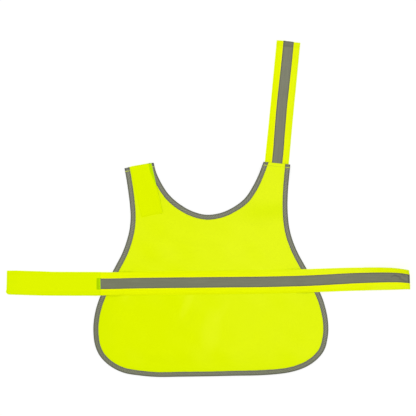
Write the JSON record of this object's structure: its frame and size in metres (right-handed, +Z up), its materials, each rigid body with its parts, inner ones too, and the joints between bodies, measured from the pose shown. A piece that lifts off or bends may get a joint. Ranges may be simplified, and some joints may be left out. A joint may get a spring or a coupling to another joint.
{
  "type": "dog safety vest",
  "caption": "Bib-shaped high-visibility dog vest laid flat, with bound edges, a belly belt and a neck strap that close with hook and loop tape.",
  "frame": {"origin": "centre of the bounding box on the surface that the vest lies on", "axes": "+X along the belly belt, to its free end; +Y from the hem to the neck strap; +Z up, away from the surface"},
  "size_m": [0.8648, 0.7212, 0.0271],
  "materials": {
    "panel_cloth": "fluorescent yellow knitted polyester, light sheen",
    "ribbon": "fluorescent yellow ribbon, light sheen",
    "loop_tape": "fluorescent yellow brushed loop tape, matt",
    "hook_tape": "fluorescent yellow hook tape",
    "reflective_stripe": "silver-grey reflective tape, satin",
    "reflective_binding": "silver-grey reflective binding, satin"
  },
  "bodies": {
    "root": {"body_panel": "panel_cloth", "side_and_hem_binding": "reflective_binding", "neck_binding": "reflective_binding", "belt_ribbon": "ribbon", "belt_stripe": "reflective_stripe", "belt_loop_patch": "loop_tape", "belt_hook_patch": "hook_tape", "neck_strap_ribbon": "ribbon", "neck_strap_stripe": "reflective_stripe", "neck_hook_patch": "hook_tape", "shoulder_loop_patch": "loop_tape"}
  },
  "joints": []
}
